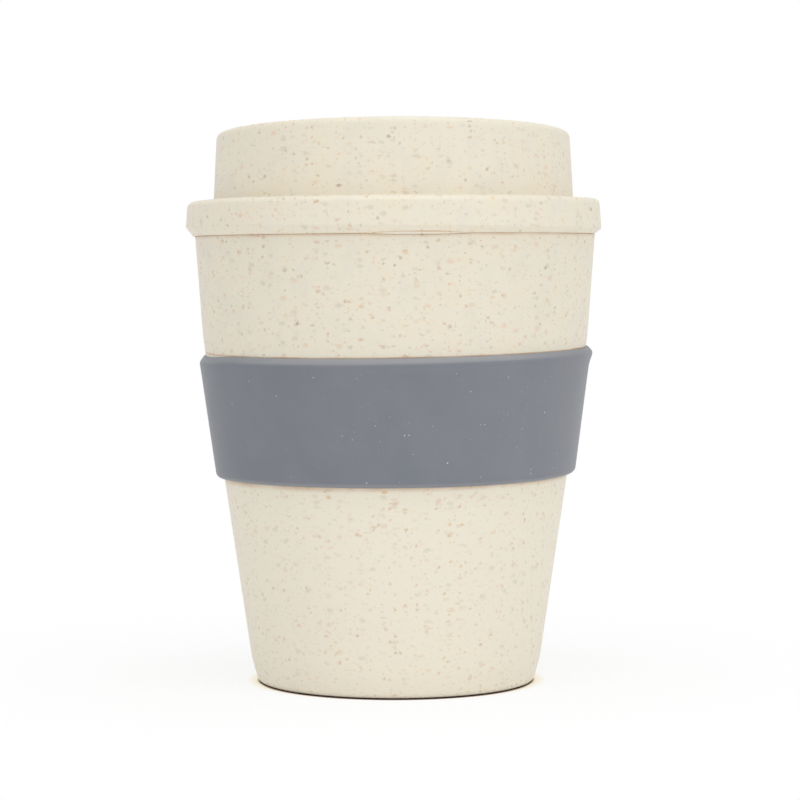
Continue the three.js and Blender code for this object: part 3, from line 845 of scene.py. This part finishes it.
def lid_form(radius, angle, z):
    """Adds the inside thread and slants the rim so that it is highest on the drinking side.

    The lid follows the warped shoulder of the cup and sits to the left in the play of the thread.
    On the left the chamfer at its foot is deeper and the edge of the flange rounder.
    A little right of the front its foot bows down, where the seam gapes.
    """
    if abs(radius - SKIRT_INNER) < SAME_RADIUS:
        radius -= ridge_height(angle, z, LID_THREAD_ANGLE, LID_THREAD_HEIGHT, LID_THREAD_SWEEP)
    share = clamped((z - DECK_TOP) / (RIM_TOP - DECK_TOP))
    above_foot = clamped((z - SKIRT_FOOT) / SKIRT_CHAMFER)
    below_top = clamped((FLANGE_TOP - z) / (FLANGE_TOP - SKIRT_FOOT - SKIRT_CHAMFER))
    z -= SKIRT_CHAMFER * SKIRT_CHAMFER_SWING * math.cos(angle) * min(above_foot, below_top)
    sag_start = COLLAR_RADIUS + FLANGE_SAG_START
    off_collar = smooth_step((radius - sag_start) / (FLANGE_TOP_RADIUS - sag_start))
    near_left = smooth_step(1.0 - (1.0 + math.cos(angle)) / FLANGE_SAG_REACH)
    z -= FLANGE_SAG * off_collar * near_left * min(above_foot, 1.0 - below_top)
    place = on_ring(radius, angle, z)
    place.z += WARP * place.x - RIM_SLANT * place.y * share
    if radius > SKIRT_INNER + SKIRT_MARGIN:
        place.z -= SEAM_SAG * seam_bow(place) * (1.0 - above_foot)
    place.x -= WARP * (z - SHOULDER_HEIGHT) + LID_PLAY
    return place


def round_ended(length, width, grow, steps=20):
    """Points round a slot with round ends that lies along X, grown on all sides."""
    end = (length - width) / 2
    radius = width / 2 + grow
    points = []
    for side in (1.0, -1.0):
        for k in range(steps + 1):
            angle = -math.pi / 2 + math.pi * k / steps
            points.append((side * (end + radius * math.cos(angle)), side * radius * math.sin(angle)))
    return points


def add_hole(bm, length, width, centre):
    """Adds the wall of a hole through the deck, with rounded edges, and returns its end loops."""
    section = []
    for k in range(HOLE_STEPS + 1):
        angle = math.pi / 2 * k / HOLE_STEPS
        grow = HOLE_ROUND * (1 - math.sin(angle))
        section.append((grow, DECK_TOP - HOLE_ROUND * (1 - math.cos(angle))))
    section += [(grow, DECK_TOP + DECK_UNDER - z) for grow, z in reversed(section)]
    loops = []
    for grow, z in section:
        ring = []
        for x, y in round_ended(length, width, grow):
            ring.append(bm.verts.new(Vector((x, y + centre, z)) * MM))
        loops.append(ring)
    for high, low in zip(loops, loops[1:]):
        count = len(high)
        for k in range(count):
            after = (k + 1) % count
            bm.faces.new([high[k], high[after], low[after], low[k]])
    return loops[0], loops[-1]


def fill_between(bm, rings, up):
    """Fills the flat deck between its outer ring and the rings of its holes."""
    edges = []
    for ring in rings:
        for k, vert in enumerate(ring):
            after = ring[(k + 1) % len(ring)]
            edges.append(bm.edges.get((vert, after)) or bm.edges.new((vert, after)))
    filled = bmesh.ops.triangle_fill(bm, use_beauty=True, edges=edges, normal=(0, 0, up))
    for item in filled["geom"]:
        if isinstance(item, bmesh.types.BMFace):
            item.normal_update()
            if item.normal.z * up < 0:
                item.normal_flip()


lid_outline = rounded([
    (DECK_FILL_RADIUS, DECK_UNDER, 0, 1),
    (COLLAR_INNER, DECK_UNDER, 1.2, 1),
    (COLLAR_INNER, LIP_FOOT, 0.5, 1),
    (LIP_OUTER, LIP_FOOT, 0.5, 1),
    (LIP_OUTER, PLATE_UNDER, 0.2, 1),
    (SKIRT_INNER, PLATE_UNDER, 0.2, NECK_ROWS),
    (SKIRT_INNER, SKIRT_FOOT, 0.15, 1),
    (SKIRT_INNER + SKIRT_LAND, SKIRT_FOOT, 0.07, 1),
    (FLANGE_RADIUS, SKIRT_FOOT + SKIRT_CHAMFER, 0.5, 1),
    (FLANGE_TOP_RADIUS, FLANGE_TOP, 1.4, 1),
    (COLLAR_RADIUS, FLANGE_TOP, 0.5, 1),
    (COLLAR_TOP_RADIUS, RIM_TOP, 1.3, 1),
    (WELL_RIM_RADIUS, RIM_TOP, 0.9, 1),
    (WELL_RADIUS, DECK_TOP, 2.0, 1),
    (DECK_FILL_RADIUS, DECK_TOP, 0, 1),
])
bm = bmesh.new()
lid_rings = add_turned(bm, lid_outline, reshape=lid_form)
hole_loops = [
    add_hole(bm, SLOT_LENGTH, SLOT_WIDTH, SLOT_PLACE),
    add_hole(bm, VENT_DIAMETER, VENT_DIAMETER, VENT_PLACE),
    add_hole(bm, STEM_HOLE, STEM_HOLE, STEM_PLACE),
]
bmesh.ops.remove_doubles(bm, verts=bm.verts, dist=WELD_DISTANCE)
tops = [[vert for vert in top if vert.is_valid] for top, under in hole_loops]
unders = [[vert for vert in under if vert.is_valid] for top, under in hole_loops]
fill_between(bm, [lid_rings[-1]] + tops, 1)
fill_between(bm, [lid_rings[0]] + unders, -1)
lid = finished(bm, "lid_moulding", straw_plastic, "lid_shell", "lid")

# Seal
# A flat ring of milky silicone that lies under the flange, held between the skirt and the locating lip.
# The rim of the cup presses into it, so its edges are softly rounded.
SEAL_INNER = 39.85
SEAL_OUTER = 43.5
SEAL_FOOT = 103.7
SEAL_TOP = 104.78
SEAL_ROUND = 0.4
SEAL_DUST_AND_LIGHT = 0.6
MILKY_DEEP = srgb(214, 214, 206)
MILKY_PALE = srgb(226, 226, 220)
milky_silicone = silicone("milky silicone", MILKY_DEEP, MILKY_PALE, MILKY_PALE, LINT, SEAL_DUST_AND_LIGHT)
seal_outline = rounded([
    (SEAL_INNER, SEAL_FOOT, SEAL_ROUND, 1),
    (SEAL_OUTER, SEAL_FOOT, SEAL_ROUND, 1),
    (SEAL_OUTER, SEAL_TOP, SEAL_ROUND, 1),
    (SEAL_INNER, SEAL_TOP, SEAL_ROUND, 1),
], closed=True, arc_steps=5)
bm = bmesh.new()
add_turned(bm, seal_outline, closed=True)
seal = finished(bm, "seal_ring", milky_silicone, "lid_seal", "seal")

# Stopper
# One moulding of the same grey silicone as the band: a button with a barb snapped through the deck,
# a thin strap with a hinge notch, and a plug with a finger tab that closes the sip slot.
STOPPER_FOOT = 112.12
BUTTON_RADIUS = 6.5
BUTTON_TOP = 114.2
BUTTON_ROUND = 0.6
BARB_RADIUS = 4.5
BARB_LENGTH = 1.8
BARB_TIP_INSET = 1.2
BARB_EDGE = 0.3
BARB_EDGE_INSET = 0.2
BARB_CLEARANCE = 0.1
STEM_RADIUS = 3.0
STEM_OVERLAP = 0.8
STRAP_WIDTH = 9.0
STRAP_THICKNESS = 1.2
HINGE_PLACE = -8.0
HINGE_WEB = 0.5
HINGE_NOTCH = 1.5
HEAD_MARGIN = 2.5
HEAD_THICKNESS = 2.0
HEAD_ROUND = 0.5
PLUG_FOOT = 108.25
PLUG_CLEARANCE = 0.3
PLUG_TAPER = 0.8
TAB_WIDTH = 10.0
TAB_THICKNESS = 2.0
TAB_TOP = 118.2
TAB_ROOT = 1.0
TAB_FLARE = 1.0
TAB_INSET = 0.5
MELT_VOXEL = 0.22
MELT_ROUNDS = 5
MELT_SHARE = 0.5


def add_stack(bm, sections):
    """Adds a closed solid through a stack of flat loops, each given as points and a height."""
    loops = []
    for points, z in sections:
        loops.append([bm.verts.new(Vector((x, y, z)) * MM) for x, y in points])
    for low, high in zip(loops, loops[1:]):
        count = len(low)
        for k in range(count):
            after = (k + 1) % count
            bm.faces.new([low[k], low[after], high[after], high[k]])
    bm.faces.new(list(reversed(loops[0])))
    bm.faces.new(loops[-1])


def slot_loop(length, width, grow, centre):
    return [(x, y + centre) for x, y in round_ended(length, width, grow)]


def disc_loop(radius, centre, count=48):
    turns = [2 * math.pi * k / count for k in range(count)]
    return [(radius * math.cos(turn), centre + radius * math.sin(turn)) for turn in turns]


def add_prism(bm, outline, width):
    """Adds a closed solid with an outline in Y and Z that reaches half its width to each side."""
    ends = []
    for x in (-width / 2, width / 2):
        ends.append([bm.verts.new(Vector((x, y, z)) * MM) for y, z in outline])
    count = len(outline)
    for k in range(count):
        after = (k + 1) % count
        bm.faces.new([ends[0][k], ends[0][after], ends[1][after], ends[1][k]])
    bm.faces.new(list(reversed(ends[0])))
    bm.faces.new(ends[1])


bm = bmesh.new()
barb_top = DECK_UNDER - BARB_CLEARANCE
add_stack(bm, [
    (disc_loop(BARB_RADIUS - BARB_TIP_INSET, STEM_PLACE), barb_top - BARB_LENGTH),
    (disc_loop(BARB_RADIUS, STEM_PLACE), barb_top - BARB_EDGE),
    (disc_loop(BARB_RADIUS - BARB_EDGE_INSET, STEM_PLACE), barb_top),
])
add_stack(bm, [
    (disc_loop(STEM_RADIUS, STEM_PLACE), barb_top - STEM_OVERLAP),
    (disc_loop(STEM_RADIUS, STEM_PLACE), STOPPER_FOOT + STEM_OVERLAP),
])
add_stack(bm, [
    (disc_loop(BUTTON_RADIUS, STEM_PLACE), STOPPER_FOOT),
    (disc_loop(BUTTON_RADIUS, STEM_PLACE), BUTTON_TOP - BUTTON_ROUND),
    (disc_loop(BUTTON_RADIUS - BUTTON_ROUND, STEM_PLACE), BUTTON_TOP),
])
strap_top = STOPPER_FOOT + STRAP_THICKNESS
add_prism(bm, [
    (SLOT_PLACE, STOPPER_FOOT),
    (STEM_PLACE, STOPPER_FOOT),
    (STEM_PLACE, strap_top),
    (HINGE_PLACE + HINGE_NOTCH, strap_top),
    (HINGE_PLACE, STOPPER_FOOT + HINGE_WEB),
    (HINGE_PLACE - HINGE_NOTCH, strap_top),
    (SLOT_PLACE, strap_top),
], STRAP_WIDTH)
head_top = STOPPER_FOOT + HEAD_THICKNESS
add_stack(bm, [
    (slot_loop(SLOT_LENGTH, SLOT_WIDTH, HEAD_MARGIN, SLOT_PLACE), STOPPER_FOOT),
    (slot_loop(SLOT_LENGTH, SLOT_WIDTH, HEAD_MARGIN, SLOT_PLACE), head_top - HEAD_ROUND),
    (slot_loop(SLOT_LENGTH, SLOT_WIDTH, HEAD_MARGIN - HEAD_ROUND, SLOT_PLACE), head_top),
])
add_stack(bm, [
    (slot_loop(SLOT_LENGTH, SLOT_WIDTH, -PLUG_CLEARANCE - PLUG_TAPER, SLOT_PLACE), PLUG_FOOT),
    (slot_loop(SLOT_LENGTH, SLOT_WIDTH, -PLUG_CLEARANCE, SLOT_PLACE), DECK_TOP),
    (slot_loop(SLOT_LENGTH, SLOT_WIDTH, -PLUG_CLEARANCE, SLOT_PLACE), head_top - HEAD_ROUND),
])
tab_place = SLOT_PLACE - SLOT_WIDTH / 2 - HEAD_MARGIN + TAB_THICKNESS / 2 + TAB_INSET
tab_foot = slot_loop(TAB_WIDTH + TAB_FLARE, TAB_THICKNESS + TAB_FLARE, 0.0, tab_place)
tab_loop = slot_loop(TAB_WIDTH, TAB_THICKNESS, 0.0, tab_place)
add_stack(bm, [
    (tab_foot, STOPPER_FOOT + TAB_ROOT),
    (tab_loop, head_top + TAB_ROOT),
    (tab_loop, TAB_TOP),
])
stopper = finished(bm, "stopper_moulding", grey_silicone, "stopper_flap")
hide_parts("stopper_anchor")
melt = stopper.modifiers.new("one moulding", "REMESH")
melt.mode = "VOXEL"
melt.voxel_size = MELT_VOXEL * MM
melt.use_smooth_shade = True
soften = stopper.modifiers.new("soft corners", "SMOOTH")
soften.factor = MELT_SHARE
soften.iterations = MELT_ROUNDS
depsgraph = bpy.context.evaluated_depsgraph_get()
baked = bpy.data.meshes.new_from_object(stopper.evaluated_get(depsgraph))
stopper.modifiers.clear()
stopper.data = baked
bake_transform(stopper)

# Floor and light
# A plain white floor in a white room. It shows white to the camera and keeps the cup's soft shadow,
# with a painted shade line, dark where the foot touches down and painted fainter at the sides, where
# more light gets under, and a painted warm glow of light thrown back from the cup round it.
# Large soft lamps stand to the right and left of the camera, beside it and above the cup.
FLOOR_SIZE = 6.0
WHITE = (1, 1, 1, 1)
CONTACT_REACH = 0.003
CONTACT_RAYS = 32
CONTACT_DARK = srgb(44, 32, 42)
CONTACT_BROWN = srgb(150, 122, 96)
CONTACT_GLOW = srgb(250, 243, 224)
LINE_CORE = 0.56
LINE_EDGE = 0.68
LINE_END = 0.80
GLOW_FROM = 0.55
GLOW_TO = 0.97
SIDE_FROM = 1.0
SIDE_TO = 0.3
SIDE_LIGHT = 0.34
SHADOW_NEAR = 0.05
SHADOW_FAR = 0.16
SHADOW_SHARE = 0.2
ROOM_LIGHT = 0.57


def seen_by_camera(tree):
    """1 for what the camera sees, also in gloss or through a clear piece, and 0 for other light."""
    light_path = tree.nodes.new("ShaderNodeLightPath")
    rays = light_path.outputs
    seen = math_node(tree, "MAXIMUM", rays["Is Camera Ray"], rays["Is Glossy Ray"])
    return math_node(tree, "MAXIMUM", seen, rays["Is Transmission Ray"])


floor_mesh = bpy.data.meshes.new("floor")
half = FLOOR_SIZE / 2
floor_mesh.from_pydata(
    [(-half, -half, 0), (half, -half, 0), (half, half, 0), (-half, half, 0)], [], [(0, 1, 2, 3)]
)
floor = bpy.data.objects.new("floor", floor_mesh)
bpy.context.scene.collection.objects.link(floor)
floor_paint = bpy.data.materials.new("white floor")
floor_paint.use_nodes = True
tree = floor_paint.node_tree
tree.nodes.clear()
coordinates = tree.nodes.new("ShaderNodeTexCoord")
from_cup = add_node(
    tree, "ShaderNodeVectorMath", operation="LENGTH", inputs={0: coordinates.outputs["Object"]}
)
shadow_share = add_node(
    tree, "ShaderNodeMapRange",
    inputs={"Value": from_cup.outputs["Value"], "From Min": SHADOW_NEAR, "From Max": SHADOW_FAR,
            "To Min": 1.0 - SHADOW_SHARE, "To Max": 1.0},
)
# Painted shade on the floor: occlusion near the foot picks a dark line and a painted warm glow
contact = add_node(
    tree, "ShaderNodeAmbientOcclusion", samples=CONTACT_RAYS, inputs={"Distance": CONTACT_REACH}
)
outward = add_node(
    tree, "ShaderNodeVectorMath", operation="NORMALIZE", inputs={0: coordinates.outputs["Object"]}
)
outward_axes = add_node(tree, "ShaderNodeSeparateXYZ", inputs={0: outward.outputs[0]})
front_or_back = math_node(tree, "ABSOLUTE", outward_axes.outputs["Y"])
side_light = add_node(
    tree, "ShaderNodeMapRange",
    inputs={"Value": front_or_back, "From Min": SIDE_FROM, "From Max": SIDE_TO, "To Max": SIDE_LIGHT},
)
openness = math_node(tree, "ADD", contact.outputs["AO"], side_light.outputs[0])
line_colour = colour_ramp(tree, openness, [(LINE_CORE, CONTACT_DARK), (LINE_EDGE, CONTACT_BROWN)])
line_share = add_node(
    tree, "ShaderNodeMapRange", inputs={"Value": openness, "From Min": LINE_END, "From Max": LINE_EDGE}
)
glow_colour = colour_ramp(tree, contact.outputs["AO"], [(GLOW_FROM, CONTACT_GLOW), (GLOW_TO, WHITE)])
contact_colour = mixed(tree, line_share.outputs[0], glow_colour, line_colour)
glow = add_node(tree, "ShaderNodeEmission", inputs={"Color": contact_colour, "Strength": 1.0})
shaded = add_node(tree, "ShaderNodeBsdfDiffuse", inputs={"Color": contact_colour})
lit = add_node(
    tree, "ShaderNodeMixShader",
    inputs={0: shadow_share.outputs[0], 1: shaded.outputs[0], 2: glow.outputs[0]},
)
matt = add_node(tree, "ShaderNodeBsdfDiffuse", inputs={"Color": WHITE})
choice = add_node(
    tree, "ShaderNodeMixShader", inputs={0: seen_by_camera(tree), 1: matt.outputs[0], 2: lit.outputs[0]}
)
add_node(tree, "ShaderNodeOutputMaterial", inputs={"Surface": choice.outputs[0]})
floor_mesh.materials.append(floor_paint)

world = bpy.data.worlds.new("studio")
world.use_nodes = True
bpy.context.scene.world = world
tree = world.node_tree
tree.nodes.clear()
room = add_node(tree, "ShaderNodeBackground", inputs={"Color": WHITE, "Strength": ROOM_LIGHT})
backdrop = add_node(tree, "ShaderNodeBackground", inputs={"Color": WHITE, "Strength": 1.0})
choice = add_node(
    tree, "ShaderNodeMixShader",
    inputs={0: seen_by_camera(tree), 1: room.outputs[0], 2: backdrop.outputs[0]},
)
add_node(tree, "ShaderNodeOutputWorld", inputs={"Surface": choice.outputs[0]})

LAMP_AIM = Vector((0.0, 0.0, 0.06))


def soft_lamp(name, azimuth, elevation, distance, size, power):
    """A square soft lamp aimed at the cup. Azimuth 0 is the camera's side, and it grows to the right."""
    turn = math.radians(azimuth)
    rise = math.radians(elevation)
    direction = Vector((
        math.sin(turn) * math.cos(rise), -math.cos(turn) * math.cos(rise), math.sin(rise)
    ))
    lamp_data = bpy.data.lights.new(name, "AREA")
    lamp_data.shape = "SQUARE"
    lamp_data.size = size
    lamp_data.energy = power
    lamp = bpy.data.objects.new(name, lamp_data)
    lamp.location = LAMP_AIM + direction * distance
    lamp.rotation_euler = direction.to_track_quat("Z", "Y").to_euler()
    bpy.context.scene.collection.objects.link(lamp)


soft_lamp("key", 50.0, 10.0, 1.1, 0.6, 1.45)
soft_lamp("side", 100.0, 8.0, 1.1, 0.6, 0.4)
soft_lamp("front", 0.0, 6.0, 1.1, 0.3, 0.65)
soft_lamp("fill", -45.0, 8.0, 1.1, 0.6, 1.0)
soft_lamp("top", 10.0, 78.0, 1.2, 1.0, 6.4)

# Camera
# It stands level with the upper part of the cup and looks slightly down with a long lens.
# Its place, roll and lens are fitted to the outline of the cup.
CAMERA_DISTANCE = 0.650
CAMERA_HEIGHT = 0.0919
CAMERA_SIDE = 0.00109
CAMERA_PITCH = 2.59
CAMERA_ROLL = 0.12
FOCAL_PIXELS = 2917.7
IMAGE_PIXELS = 800.0
SENSOR_MM = 36.0
camera_data = bpy.data.cameras.new("camera")
camera_data.sensor_width = SENSOR_MM
camera_data.lens = SENSOR_MM * FOCAL_PIXELS / IMAGE_PIXELS
camera = bpy.data.objects.new("camera", camera_data)
camera.location = (CAMERA_SIDE, -CAMERA_DISTANCE, CAMERA_HEIGHT)
camera.rotation_euler = (math.radians(90.0 - CAMERA_PITCH), math.radians(CAMERA_ROLL), 0.0)
bpy.context.scene.collection.objects.link(camera)
bpy.context.scene.camera = camera
bpy.context.scene.view_settings.view_transform = "Standard"
